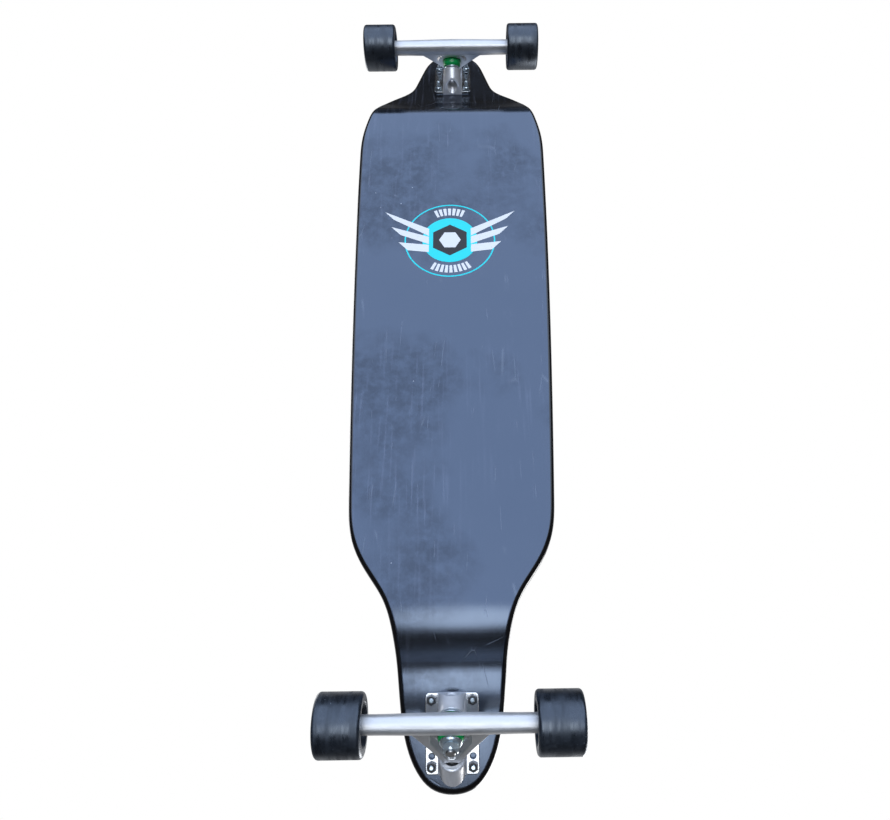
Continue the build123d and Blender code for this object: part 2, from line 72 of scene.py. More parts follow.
# ------------------------------------------------------------------ node helpers
class Shader:
    """A material being built: short calls that add nodes and link them."""

    def __init__(self, name):
        self.mat = bpy.data.materials.new(name)
        self.mat.use_nodes = True
        self.tree = self.mat.node_tree
        self.bsdf = self.tree.nodes["Principled BSDF"]
        self.coords = self.tree.nodes.new("ShaderNodeTexCoord").outputs["Object"]

    def node(self, kind, inputs=None, **props):
        n = self.tree.nodes.new(kind)
        for key, value in props.items():
            setattr(n, key, value)
        for key, value in (inputs or {}).items():
            self.put(n.inputs[key], value)
        return n

    def put(self, socket, value):
        if isinstance(value, bpy.types.NodeSocket):
            self.tree.links.new(value, socket)
        else:
            socket.default_value = value

    def set(self, **values):
        for key, value in values.items():
            self.put(self.bsdf.inputs[key.replace("_", " ")], value)
        return self

    def mapped(self, scale=(1, 1, 1), rotation=(0, 0, 0)):
        inputs = {"Vector": self.coords, "Scale": scale, "Rotation": rotation}
        return self.node("ShaderNodeMapping", inputs).outputs[0]

    def noise(self, scale, detail=4, rough=0.5, vector=None):
        inputs = {"Vector": vector or self.coords, "Scale": scale, "Detail": detail, "Roughness": rough}
        return self.node("ShaderNodeTexNoise", inputs).outputs[0]

    def cells(self, scale):
        """Distance to the nearest point of a scattered set."""
        return self.node("ShaderNodeTexVoronoi", {"Vector": self.coords, "Scale": scale}).outputs[0]

    def ramp(self, fac, low, high, a=0.0, b=1.0):
        """fac carried from low..high to a..b, held at the ends."""
        inputs = {"Value": fac, "From Min": low, "From Max": high, "To Min": a, "To Max": b}
        return self.node("ShaderNodeMapRange", inputs).outputs[0]

    def math(self, op, a, b=0.0):
        return self.node("ShaderNodeMath", {0: a, 1: b}, operation=op).outputs[0]

    def times(self, a, b):
        return self.math("MULTIPLY", a, b)

    def mix(self, fac, a, b):
        n = self.node("ShaderNodeMix", data_type="RGBA")
        self.put(n.inputs[0], fac)
        self.put(n.inputs[6], a)
        self.put(n.inputs[7], b)
        return n.outputs[2]

    def bump(self, height, strength, distance):
        n = self.node("ShaderNodeBump", {"Height": height, "Strength": strength, "Distance": distance})
        self.put(self.bsdf.inputs["Normal"], n.outputs[0])
        return self

    def scratches(self, scale, width, rotation):
        """Thin broken lines: the edges of a stretched cell pattern, kept in patches."""
        v = self.mapped((1, 0.12, 1), (0, 0, rotation))
        cells = self.node("ShaderNodeTexVoronoi", {"Vector": v, "Scale": scale}, feature="DISTANCE_TO_EDGE")
        line = self.ramp(cells.outputs[0], 0.0, width, 1.0, 0.0)
        patches = self.ramp(self.noise(scale * 0.9, 2), 0.56, 0.66)
        return self.times(line, patches)


def rgb(r, g, b):
    return (r, g, b, 1.0)


# ------------------------------------------------------------------ materials
def paint_material():
    """Gloss black paint over wood grain, with smudges, dull stains, pale veins, scratches and chips."""
    s = Shader("deck_paint")
    grain = s.noise(1.0, 5, 0.6, s.mapped((420, 14, 420)))
    smudge = s.noise(9, 5, 0.6)
    fine = s.noise(230, 3, 0.6)
    scratch = s.math("MAXIMUM", s.scratches(26, 0.014, 0.35), s.scratches(34, 0.012, -0.5))
    chips = s.times(s.ramp(s.cells(42.0), 0.034, 0.022), s.ramp(s.noise(7, 2), 0.50, 0.58))
    stain = s.ramp(s.noise(5.5, 4, 0.5), 0.50, 0.62)
    stain = s.times(stain, s.ramp(s.noise(60, 4, 0.7), 0.3, 0.6))
    veins = s.noise(1.0, 3, 0.5, s.mapped((260, 11, 1)))
    veins = s.times(s.ramp(veins, 0.56, 0.68), s.ramp(s.noise(3.2, 3), 0.46, 0.62))
    base = s.mix(s.ramp(smudge, 0.35, 0.7), rgb(0.0030, 0.0034, 0.0042), rgb(0.0105, 0.0115, 0.0135))
    base = s.mix(s.times(stain, 0.4), base, rgb(0.016, 0.014, 0.013))
    base = s.mix(s.times(veins, 0.5), base, rgb(0.085, 0.090, 0.120))
    base = s.mix(s.times(scratch, 0.30), base, rgb(0.24, 0.26, 0.30))
    base = s.mix(s.times(chips, 0.75), base, rgb(0.55, 0.56, 0.58))
    rough = s.ramp(smudge, 0.3, 0.75, 0.15, 0.25)
    rough = s.math("ADD", rough, s.times(scratch, 0.12))
    height = s.math("ADD", s.times(grain, 0.6), s.times(fine, 0.4))
    height = s.math("SUBTRACT", height, s.times(scratch, 1.2))
    s.set(Base_Color=base, Roughness=rough, IOR=2.3, Specular_Tint=rgb(0.60, 0.74, 1.0),
          Metallic=s.times(stain, 0.34))
    return s.bump(height, 0.16, 0.0004).mat


def edge_material():
    """Smooth gloss paint of the rim, rubbed brown here and there."""
    s = Shader("deck_edge_paint")
    wear = s.noise(120, 4)
    base = s.mix(s.ramp(wear, 0.70, 0.80), rgb(0.004, 0.004, 0.005), rgb(0.05, 0.042, 0.036))
    s.set(Base_Color=base, Roughness=s.ramp(wear, 0.3, 0.7, 0.14, 0.22), IOR=1.7)
    return s.bump(wear, 0.04, 0.0002).mat


def grip_material():
    """Coarse black grit with dust on it."""
    s = Shader("grip_tape")
    grit = s.cells(1400.0)
    dust = s.noise(14, 5, 0.65)
    base = s.mix(s.ramp(dust, 0.42, 0.75), rgb(0.016, 0.016, 0.017), rgb(0.055, 0.053, 0.050))
    base = s.mix(s.ramp(grit, 0.30, 0.12, 0.0, 0.5), base, rgb(0.10, 0.10, 0.105))
    s.set(Base_Color=base, Roughness=0.82)
    return s.bump(grit, 0.9, 0.0006).mat


def urethane_material():
    """Black wheel urethane: scuffs, bands from rolling, pale specks and rubbed patches."""
    s = Shader("wheel_urethane")
    scuff = s.noise(70, 6, 0.7)
    bands = s.noise(1.0, 4, 0.6, s.mapped((160, 22, 22)))
    base = s.mix(s.ramp(scuff, 0.42, 0.72), rgb(0.006, 0.009, 0.014), rgb(0.022, 0.028, 0.038))
    dots = s.times(s.ramp(s.cells(210.0), 0.12, 0.07), s.ramp(s.noise(40, 2), 0.5, 0.62))
    base = s.mix(s.times(dots, 0.5), base, rgb(0.30, 0.33, 0.38))
    patch = s.times(s.ramp(s.noise(38, 5, 0.65), 0.5, 0.68), s.ramp(s.noise(300, 3), 0.35, 0.65))
    base = s.mix(s.times(patch, 0.5), base, rgb(0.075, 0.085, 0.10))
    s.set(Base_Color=base, Roughness=s.ramp(bands, 0.38, 0.62, 0.24, 0.50), IOR=1.85,
          Specular_Tint=rgb(0.75, 0.85, 1))
    return s.bump(s.math("ADD", scuff, bands), 0.25, 0.0004).mat


def plastic_material():
    """Dark moulded plastic of the wheels' cores."""
    s = Shader("core_plastic")
    grain = s.noise(500, 3)
    s.set(Base_Color=rgb(0.035, 0.036, 0.04), Roughness=s.ramp(grain, 0.3, 0.7, 0.38, 0.52))
    return s.bump(grain, 0.2, 0.0002).mat


def bushing_material():
    """Green urethane that lets a little light in."""
    s = Shader("bushing_urethane")
    cloud = s.noise(160, 3)
    base = s.mix(cloud, rgb(0.003, 0.36, 0.080), rgb(0.010, 0.55, 0.14))
    s.set(Base_Color=base, Roughness=0.22, IOR=1.5, Subsurface_Weight=0.25, Subsurface_Scale=0.004,
          Subsurface_Radius=(0.3, 1.0, 0.4))
    return s.bump(cloud, 0.06, 0.0003).mat


def dull_black_material(name):
    """Unpolished black plastic, for the pivot cups and the nuts' inserts."""
    s = Shader(name)
    grain = s.noise(400, 3)
    s.set(Base_Color=rgb(0.012, 0.012, 0.013), Roughness=s.ramp(grain, 0.3, 0.7, 0.4, 0.6))
    return s.mat


def cast_material(name, stretch, rough_low, rough_high, colour, metal):
    """Tumbled and brushed casting: cloudy sheen, fine brush lines, small dings."""
    s = Shader(name)
    brush = s.noise(1.0, 4, 0.6, s.mapped(stretch))
    cloud = s.noise(60, 5, 0.6)
    pits = s.ramp(s.cells(300.0), 0.10, 0.04)
    base = s.mix(s.ramp(cloud, 0.3, 0.7), rgb(*[c * 0.86 for c in colour]), rgb(*colour))
    base = s.mix(s.times(pits, 0.25), base, rgb(0.30, 0.30, 0.31))
    s.set(Base_Color=base, Metallic=metal, Roughness=s.ramp(cloud, 0.3, 0.7, rough_low, rough_high))
    height = s.math("SUBTRACT", brush, s.times(pits, 0.6))
    return s.bump(height, 0.30, 0.0003).mat


def steel_material(name, colour, low, high, metal=1.0):
    """Machined or plated metal with faint stains: low and high are its roughness."""
    s = Shader(name)
    stain = s.noise(180, 5, 0.6)
    base = s.mix(s.ramp(stain, 0.35, 0.75), rgb(*colour), rgb(*[c * 0.72 for c in colour]))
    s.set(Base_Color=base, Metallic=metal, Roughness=s.ramp(stain, 0.3, 0.75, low, high))
    return s.bump(s.noise(700, 3), 0.12, 0.0002).mat


def print_material():
    """Screen-printed emblem ink, slightly worn through."""
    s = Shader("emblem_ink")
    kind = s.node("ShaderNodeAttribute", attribute_name="ink").outputs["Color"]
    wear = s.ramp(s.noise(260, 4, 0.7), 0.66, 0.74)
    s.set(Base_Color=s.mix(wear, kind, rgb(0.02, 0.022, 0.03)), Roughness=0.42, IOR=1.5)
    return s.bump(s.noise(500, 3), 0.1, 0.0002).mat


PAINT = paint_material()
EDGE = edge_material()
GRIP_MAT = grip_material()
URETHANE = urethane_material()
PLASTIC = plastic_material()
BUSHING = bushing_material()
CUP = dull_black_material("pivot_cup_urethane")
HANGER_MAT = cast_material("hanger_casting", (30, 700, 700), 0.38, 0.52, (0.78, 0.78, 0.785), 0.66)
BASE_MAT = cast_material("baseplate_casting", (90, 500, 500), 0.12, 0.22, (0.55, 0.56, 0.58), 1.0)
BOSS_MAT = cast_material("boss_brushed", (700, 60, 60), 0.26, 0.40, (0.88, 0.88, 0.90), 0.45)
STEEL = steel_material("axle_steel", (0.56, 0.56, 0.57), 0.24, 0.40)
BEARING = steel_material("bearing_steel", (0.62, 0.62, 0.64), 0.12, 0.26)
ZINC = steel_material("zinc_hardware", (0.66, 0.75, 0.80), 0.16, 0.28, 0.72)
# A darker copy of the zinc for the rear lock nuts: painted shade, not a different finish.
PAINTED_SHADE_ZINC = steel_material("painted_shade_zinc_nuts", (0.16, 0.165, 0.18), 0.30, 0.46, 0.8)
NYLON = dull_black_material("nylon_insert")
INK = print_material()


# ------------------------------------------------------------------ mesh helpers
def linked(name, data):
    """A new object in the scene, around its mesh, light or camera."""
    obj = bpy.data.objects.new(name, data)
    bpy.context.collection.objects.link(obj)
    return obj


def apply_modifiers(obj):
    """Replaces an object's mesh with its evaluated one and drops the modifiers."""
    graph = bpy.context.evaluated_depsgraph_get()
    mesh = bpy.data.meshes.new_from_object(obj.evaluated_get(graph))
    obj.modifiers.clear()
    obj.data = mesh


def copy_of(node, name, material):
    """A free copy of a CAD node, in the row frame."""
    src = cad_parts[node]
    obj = linked(name, src.data.copy())
    obj.data.transform(src.matrix_world)
    obj.data.materials.clear()
    obj.data.materials.append(material)
    return obj


def round_corner(a, b, c, steps, reach=None, radius=None):
    """Arc that rounds corner b of the line a, b, c, given its reach along the sides or its radius."""
    u, v = (a - b) / np.linalg.norm(a - b), (c - b) / np.linalg.norm(c - b)
    half = math.acos(np.clip(u @ v, -0.999999, 0.999999)) / 2
    if radius is not None:
        reach = radius / math.tan(half)
    middle = b + (u + v) / np.linalg.norm(u + v) * reach / math.cos(half)
    start, end = b + u * reach - middle, b + v * reach - middle
    turn = math.pi - 2 * half
    points = []
    for t in np.linspace(0, 1, steps + 1):
        points.append(middle + (start * math.sin((1 - t) * turn) + end * math.sin(t * turn)) / math.sin(turn))
    return points


def soften(corners, steps=6):
    """Closed (radius, height) outline from corners (radius, height, reach of the rounding)."""
    spots = [np.array(corner[:2], float) for corner in corners]
    out = []
    for i, (*_, reach) in enumerate(corners):
        before, after = spots[i - 1], spots[(i + 1) % len(spots)]
        out += round_corner(before, spots[i], after, steps, reach=reach) if reach else [spots[i]]
    return out


def lathe(outline, matrix, bm, segments=72):
    """Adds a closed outline of (radius, height) turned about matrix's Z axis, in millimetres."""
    rings = []
    for k in range(segments):
        a = 2 * math.pi * k / segments
        spots = [Vector((r * math.cos(a), r * math.sin(a), h)) for r, h in outline]
        rings.append([bm.verts.new(matrix @ spot) for spot in spots])
    n = len(outline)
    for k in range(segments):
        one, two = rings[k], rings[(k + 1) % segments]
        for i in range(n):
            j = (i + 1) % n
            if outline[i][0] > 1e-6 or outline[j][0] > 1e-6:
                bm.faces.new((one[i], two[i], two[j], one[j]))
    bmesh.ops.remove_doubles(bm, verts=bm.verts, dist=1e-5)


def finish_mesh(bm, name, material, sharp=35):
    """Turns a millimetre bmesh into an object in metres, smooth but for edges over sharp degrees."""
    bmesh.ops.recalc_face_normals(bm, faces=bm.faces)
    bmesh.ops.scale(bm, vec=(MM, MM, MM), verts=bm.verts)
    for face in bm.faces:
        face.smooth = True
    for edge in bm.edges:
        edge.smooth = len(edge.link_faces) == 2 and edge.calc_face_angle(0) < math.radians(sharp)
    mesh = bpy.data.meshes.new(name)
    bm.to_mesh(mesh)
    bm.free()
    mesh.materials.append(material)
    return linked(name, mesh)


def along(place, direction, across=(1, 0, 0)):
    """Matrix whose Z axis runs along direction from place."""
    z = Vector(direction).normalized()
    x = Vector(across)
    return Matrix.Translation(place) @ Matrix((x, z.cross(x), z)).transposed().to_4x4()


def threads(start, end, radius, pitch):
    """Outline of a stub with thread-like rings between two heights, and a bevelled tip."""
    bevel, groove = 0.7, 0.55 * pitch
    out = [(0, start), (radius, start)]
    h = start
    while h + pitch < end - 0.6:
        out += [(radius, h + 0.15 * pitch), (radius - groove, h + 0.5 * pitch), (radius, h + 0.85 * pitch)]
        h += pitch
    return out + [(radius, end - bevel), (radius - bevel, end), (0, end)]


def hand_over(obj, body, slot_name, *nodes):
    """Gives a piece its body and hides the CAD nodes that it stands in for. Its slot name is not used."""
    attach(obj, body)
    if nodes:
        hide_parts(*nodes)


# ------------------------------------------------------------------ deck
# Half outlines as (distance inboard of the axle, half width), from the tip to the platform at the tail and
# from the platform to the tip at the nose.
TAIL_OUTLINE = [(-55.0, 22.5), (-40.0, 36.3), (-18.0, 46.0), (26.0, 53.6), (82.0, 59.3),
                (121.0, 70.2), (163.0, 96.4), (195.0, 108.8), (232.0, 112.6)]
NOSE_OUTLINE = [(190.0, 126.4), (150.0, 125.2), (115.0, 118.6), (85.0, 110.6), (60.0, 102.0),
                (40.0, 82.5), (21.0, 63.6), (-5.0, 55.0), (-43.0, 47.0), (-72.0, 38.6), (-92.0, 24.0)]


def periodic_spline(points, spacing):
    """Closed cubic through the points, by chord length, sampled about every spacing millimetres."""
    pts = np.array(points, float)
    n = len(pts)
    chord = np.linalg.norm(np.roll(pts, -1, 0) - pts, axis=1)
    rows = np.zeros((n, n))
    rhs = np.zeros((n, 2))
    for i in range(n):
        before, after = chord[i - 1], chord[i]
        rows[i, (i - 1) % n] = after
        rows[i, i] = 2 * (before + after)
        rows[i, (i + 1) % n] = before
        rhs[i] = 3 * (after * (pts[i] - pts[i - 1]) / before + before * (pts[(i + 1) % n] - pts[i]) / after)
    slope = np.linalg.solve(rows, rhs)
    out = []
    for i in range(n):
        j = (i + 1) % n
        h = chord[i]
        count = max(2, int(round(h / spacing)))
        for k in range(count):
            t = k / count
            h00, h10 = 2 * t**3 - 3 * t**2 + 1, t**3 - 2 * t**2 + t
            h01, h11 = -2 * t**3 + 3 * t**2, t**3 - t**2
            out.append(h00 * pts[i] + h10 * h * slope[i] + h01 * pts[j] + h11 * h * slope[j])
    return np.array(out)


def outline_points(spacing):
    """The board's outline, counterclockwise from the tail's tip."""
    right = [(w, REAR_AXLE + d) for d, w in TAIL_OUTLINE]
    right += [(w, FRONT_AXLE - d) for d, w in NOSE_OUTLINE]
    left = [(-x, y) for x, y in reversed(right)]
    return periodic_spline([(0, TAIL_TIP)] + right + [(0, NOSE_TIP)] + left, spacing)


def side_profile(rise):
    """Long profile at a height above the underside, as arrays of y and z."""
    far = 130.0  # past both tips
    steep = math.atan2(DROP - FOOT * math.tan(TILT), CREST - FOOT)
    half_bend = math.tan((steep - TILT) / 2)
    foot_y = FOOT + rise * (math.sin(TILT) + half_bend * math.cos(TILT))
    foot_z = MOUNT_Z - FOOT * math.tan(TILT) + rise * (math.cos(TILT) - half_bend * math.sin(TILT))
    crest_y = CREST + rise * math.tan(steep / 2)
    tip_z = MOUNT_Z + far * math.tan(TILT) + rise / math.cos(TILT)
    rear = [(-far, tip_z), (foot_y, foot_z), (crest_y, PLATFORM + rise)]
    corners = [np.array((REAR_AXLE + y, z)) for y, z in rear]
    corners += [np.array((FRONT_AXLE - y, z)) for y, z in reversed(rear)]
    radii = [FOOT_RADIUS + rise, REAR_CREST_RADIUS - rise, FRONT_CREST_RADIUS - rise, FOOT_RADIUS + rise]
    line = [corners[0]]
    for i, radius in enumerate(radii):
        line += round_corner(*corners[i:i + 3], 40, radius=radius)
    line = np.array(line + [corners[-1]])
    return line[:, 0], line[:, 1]


def bend_to_profile(flat):
    """Points (x, y, rise above the underside) of the flat board, carried onto the bent one, in metres."""
    bent = flat.copy()
    for rise in np.unique(np.round(flat[:, 2], 4)):
        pick = np.abs(flat[:, 2] - rise) < 1e-4
        bent[pick, 2] = np.interp(flat[pick, 1], *side_profile(rise))
    return bent * MM


def bend_cuts():
    """Cuts across the board: close together in the bends."""
    in_bends, on_mount = np.arange(30, 130.1, 2.0), (-45, -30, -15, 0, 15)
    cuts = list(np.arange(-340, 301, 32.0))
    for axle, way in ((REAR_AXLE, 1), (FRONT_AXLE, -1)):
        cuts += [axle + way * d for d in (*in_bends, *on_mount)]
    return sorted(cuts)


def rim_levels():
    """The rim's section from bottom to top, as (inset, rise) pairs: a large round-over, then a small one."""
    rings = []
    for a in np.linspace(0, math.pi / 2, 8):
        rings.append((UNDER_ROUND * (1 - math.sin(a)), UNDER_ROUND * (1 - math.cos(a))))
    for a in np.linspace(0, math.pi / 2, 4):
        rings.append((TOP_ROUND * (1 - math.cos(a)), DECK_THICKNESS - TOP_ROUND * (1 - math.sin(a))))
    return rings


def build_deck(spacing=5.0):
    """The board: outline rings stacked flat, cut across, and bent. Its underside has its own paint."""
    bm = bmesh.new()
    base = outline_points(spacing)
    ahead = np.roll(base, -1, 0) - np.roll(base, 1, 0)
    inward = np.stack([-ahead[:, 1], ahead[:, 0]], 1)
    inward /= np.linalg.norm(inward, axis=1)[:, None]
    rings = []
    for inset, rise in rim_levels():
        rings.append([bm.verts.new((x, y, rise)) for x, y in base + inward * inset])
    count = len(base)
    for k, (low, high) in enumerate(zip(rings[:-1], rings[1:])):
        for i in range(count):
            j = (i + 1) % count
            bm.faces.new((low[i], low[j], high[j], high[i])).material_index = int(k > 0)
    bm.faces.new(list(reversed(rings[0])))
    bm.faces.new(rings[-1]).material_index = 1
    for y in bend_cuts():
        geometry = list(bm.verts) + list(bm.edges) + list(bm.faces)
        bmesh.ops.bisect_plane(bm, geom=geometry, plane_co=(0, y, 0), plane_no=(0, 1, 0), dist=1e-4)
    bent = bend_to_profile(np.array([v.co[:] for v in bm.verts]))
    for vert, place in zip(bm.verts, bent):
        vert.co = place
    bmesh.ops.recalc_face_normals(bm, faces=bm.faces)
    mesh = bpy.data.meshes.new("deck_board")
    bm.to_mesh(mesh)
    bm.free()
    mesh.materials.append(PAINT)
    mesh.materials.append(EDGE)
    mesh.shade_smooth()
    hand_over(linked("deck_board", mesh), "deck", "deck_paint", "deck")


# ------------------------------------------------------------------ trucks
def truck_frame(end):
    """Truck's own frame in millimetres: y outboard along the deck, z towards it."""
    turn = 0 if end == "front" else math.pi
    place = (0, abs(ENDS[end]) - FOOT_SHIFT * math.cos(TILT), MOUNT_Z - FOOT_SHIFT * math.sin(TILT))
    return Matrix.Rotation(turn, 4, "Z") @ Matrix.Translation(place) @ Matrix.Rotation(TILT, 4, "X")


def add_crossbar(bm, axle_y, count=64):
    """Crossbar with a squared round section, level with the ground."""
    stations = np.linspace(-CROSSBAR_HALF, CROSSBAR_HALF, 73)
    rings = []
    for x, radius in zip(stations, np.interp(np.abs(stations), CROSSBAR_PLACES, CROSSBAR_RADII)):
        ring = []
        for a in (2 * math.pi * k / count for k in range(count)):
            c, s = math.cos(a), math.sin(a)
            reach = radius / (abs(c) ** CROSSBAR_POWER + abs(s) ** CROSSBAR_POWER) ** (1 / CROSSBAR_POWER)
            y, z = axle_y + reach * c * CROSSBAR_SQUASH_Y, HUB + reach * s * CROSSBAR_SQUASH_Z
            ring.append(bm.verts.new((x, y, z)))
        rings.append(ring)
    for one, two in zip(rings[:-1], rings[1:]):
        for i in range(count):
            j = (i + 1) % count
            bm.faces.new((one[i], one[j], two[j], two[i]))
    bm.faces.new(list(reversed(rings[0])))
    bm.faces.new(rings[-1])


def ease(obj, voxel, rounds):
    """Remeshes a casting and smooths it, so that its joints and edges flow."""
    remesh = obj.modifiers.new("remesh", "REMESH")
    remesh.mode = "VOXEL"
    remesh.voxel_size = voxel * MM
    smooth = obj.modifiers.new("ease", "SMOOTH")
    smooth.factor = 0.5
    smooth.iterations = rounds
    apply_modifiers(obj)
    obj.data.shade_smooth()


def build_hanger(end):
    """The CAD hanger with the squarer crossbar added to it."""
    obj = copy_of(f"{end}_hanger", f"{end}_hanger_casting", HANGER_MAT)
    bm = bmesh.new()
    add_crossbar(bm, ENDS[end])
    bmesh.ops.recalc_face_normals(bm, faces=bm.faces)
    bmesh.ops.scale(bm, vec=(MM, MM, MM), verts=bm.verts)
    bm.from_mesh(obj.data)
    bm.to_mesh(obj.data)
    bm.free()
    ease(obj, 0.6, 9)
    hand_over(obj, f"{end}_hanger_body", "cast_aluminium", f"{end}_hanger")


def build_baseplate(end):
    """The CAD baseplate, shiny on its flange and brushed on the boss and the pivot housing."""
    obj = copy_of(f"{end}_baseplate", f"{end}_baseplate_casting", BASE_MAT)
    ease(obj, 0.5, 3)
    obj.data.materials.append(BOSS_MAT)
    to_truck = truck_frame(end).inverted()
    for face in obj.data.polygons:
        place = to_truck @ (face.center / MM)
        face.material_index = int(place.z < -FLANGE_DEPTH or abs(place.x) < BOSS_HALF_WIDTH)
    hand_over(obj, "deck", "cast_aluminium", f"{end}_baseplate")


def build_bushing(end, part, pin, seat, top, way):
    """A barrel bushing from its seat on the ring to its top, and the domed cup washer on it."""
    bore, radius, top_radius = 4.96, 12.6, 8.6
    bm = bmesh.new()
    section = [(bore, seat, 0.2), (radius, seat, 0.9), (radius, top - way * 4.0, 1.8), (top_radius, top, 0.5),
               (bore, top, 0.2)]
    lathe(soften(section), pin, bm, 96)
    obj = finish_mesh(bm, f"{end}_{part}_bushing_soft", BUSHING)
    hand_over(obj, "deck", "bushing_urethane", f"{end}_{part}_bushing")
    bore, lip, out = 4.86, 10.9, top + way * 2.0
    bm = bmesh.new()
    section = [(bore, top, 0.1), (9.0, top, 0.8), (lip, top - way * 1.4, 0.2), (lip, top - way * 0.2, 0.3),
               (9.3, out, 1.1), (bore, out, 0.2)]
    lathe(soften(section), pin, bm, 96)
    obj = finish_mesh(bm, f"{end}_{part}_washer_domed", ZINC)
    hand_over(obj, "deck", "zinc_hardware", f"{end}_{part}_washer")


def build_kingpin(end, pin):
    """Kingpin: a plain shank, a chamfered head inside the baseplate and a ringed tip below the nut."""
    shank = 4.72
    bm = bmesh.new()
    lathe(threads(22.9, 25.0, 4.76, 1.0), pin, bm)
    lathe([(0, -14), (shank, -14), (shank, 22.95), (0, 22.95)], pin, bm)
    head = [(0, -36.0, 0), (5.6, -36.0, 0.5), (6.3, -35.2, 0.3), (6.3, -30.0, 0.3), (0, -30.0, 0)]
    lathe(soften(head), pin, bm)
    lathe([(0, -30), (shank, -30), (shank, -14), (0, -14)], pin, bm)
    hand_over(finish_mesh(bm, f"{end}_kingpin_turned", STEEL), "deck", "axle_steel", f"{end}_kingpin")


def build_mounting_bolts(end):
    """Countersunk bolts through the deck, with ringed ends, and the lock nuts' black inserts."""
    base = truck_frame(end)
    turn = base.to_3x3()
    head_top, head_radius, shank, nut_face = -14.5, 4.7, 2.4, 9.3
    tip = 17.25 if end == "front" else 10.9
    blank = [(0, -12.9), (1.7, -12.9), (1.7, head_top), (head_radius, head_top), (head_radius, -14.1),
             (shank, -11.9), (shank, nut_face), (0, nut_face)]
    insert = [(2.42, nut_face, 0.1), (2.42, 9.9, 0.2), (3.95, 9.9, 0.3), (3.95, nut_face, 0.1)]
    bolts, inserts = bmesh.new(), bmesh.new()
    for v in BOLT_ROWS:
        for x in BOLT_COLUMNS:
            bolt = along(base @ Vector((x, v, 0)), turn @ Vector((0, 0, -1)), turn @ Vector((1, 0, 0)))
            lathe(blank, bolt, bolts, 40)
            lathe(threads(9.2, tip, shank, 0.8), bolt, bolts, 40)
            lathe(soften(insert), bolt, inserts, 40)
    hand_over(finish_mesh(bolts, f"{end}_mounting_bolts_threaded", ZINC), "deck", "zinc_hardware",
              f"{end}_mounting_bolts")
    hand_over(finish_mesh(inserts, f"{end}_nut_inserts", NYLON), "deck", "pivot_cup")


def build_truck_details(end):
    """Bushings and kingpin along one tilted axis, and the mounting bolts."""
    base = truck_frame(end)
    pin_dir = base.to_3x3() @ Vector((0, 1, -1)).normalized()
    pin = along(base @ Vector((0, RING_V, -RING_DEPTH)), pin_dir)
    build_bushing(end, "boardside", pin, -2.0, -15.0, -1)
    build_bushing(end, "roadside", pin, 2.0, 14.0, 1)
    build_kingpin(end, pin)
    build_mounting_bolts(end)


def build_tyre(end, side):
    """Wheel urethane, turned about the axle: round lips, a dished recess in each face."""
    inner, outer = 80.0, 124.0
    bore, seat, mouth = 15.5, 16.6, 20.6
    section = [(bore, 91.0, 0.3), (seat, 90.2, 0.8), (mouth, inner, 1.2), (HUB, inner, 3.6),
               (HUB, outer, 3.6), (mouth, outer, 1.2), (seat, 116.0, 0.8), (bore, 115.0, 0.3)]
    place = along((0, ENDS[end], HUB), (SIDES[side], 0, 0), (0, 1, 0))
    bm = bmesh.new()
    lathe(soften(section, 8), place, bm, 144)
    obj = finish_mesh(bm, f"{end}_{side}_tyre_turned", URETHANE, 60)
    hand_over(obj, f"{end}_{side}_wheel", "urethane", f"{end}_{side}_tyre")


# ------------------------------------------------------------------ emblem
def arc(radius, start, end, count):
    angles = [math.radians(start + (end - start) * k / count) for k in range(count + 1)]
    return [(radius * math.cos(a), radius * math.sin(a)) for a in angles]


def band(inner, outer, start, end):
    """Outline of a stretch of ring between two angles."""
    count = max(2, int(abs(end - start) / 3))
    return arc(inner, start, end, count) + list(reversed(arc(outer, start, end, count)))


def build_emblem():
    """A plain printed roundel with side bars, in thin coats under the platform."""
    white, cyan, dark = (0.95, 0.96, 0.97), (0.0, 0.86, 0.92), (0.010, 0.011, 0.014)
    coat_thickness, sunk = 0.05, 0.2
    ring_inner, ring_outer, disc = 56.6, 58.4, 35.5
    tick_inner, tick_outer, tick_pitch, tick_width = 40.5, 52.0, 7, 4.6
    dark_hexagon, white_hexagon = 25.0, 14.0
    bar_root, bar_pitch, bars = 27, 13, ((85, 28), (76, 16), (66, 4))  # each bar's tip in x, and its rise
    bm = bmesh.new()
    ink = bm.loops.layers.float_color.new("ink")
    middle = Vector((2.2, 106.0, PLATFORM))

    def coat(points, level, colour):
        """One printed shape: its level is how many coats it stands proud of the paint."""
        low = [bm.verts.new(middle + Vector((x, y, -coat_thickness * level))) for x, y in points]
        high = [bm.verts.new(middle + Vector((x, y, sunk))) for x, y in points]
        faces = [bm.faces.new(low), bm.faces.new(list(reversed(high)))]
        for i in range(len(points)):
            j = (i + 1) % len(points)
            faces.append(bm.faces.new((low[i], high[i], high[j], low[j])))
        for face in faces:
            for loop in face.loops:
                loop[ink] = (*colour, 1.0)

    for quarter in range(4):
        coat(band(ring_inner, ring_outer, 90 * quarter, 90 * quarter + 90), 2, cyan)
    coat(arc(disc, 0, 357, 119), 2, cyan)
    for first, ticks in ((66, 7), (238, 9)):
        for angle in (first + tick_pitch * k for k in range(ticks)):
            coat(band(tick_inner, tick_outer, angle, angle + tick_width), 3, white)
    coat(arc(dark_hexagon, 30, 330, 5), 3, dark)
    coat(arc(white_hexagon, 0, 300, 5), 4, white)
    for way in (-1, 1):
        for row, (tip, rise) in enumerate(bars):
            root_y = 12 - bar_pitch * row
            points = [(bar_root * way, root_y - 5.4), (bar_root * way, root_y + 6.3),
                      (tip * way, root_y + rise + 7.0), ((tip - 12) * way, root_y + rise - 6.0)]
            coat(points if way > 0 else list(reversed(points)), 4, white)
    hand_over(finish_mesh(bm, "emblem_print", INK, 20), "deck", "deck_paint")


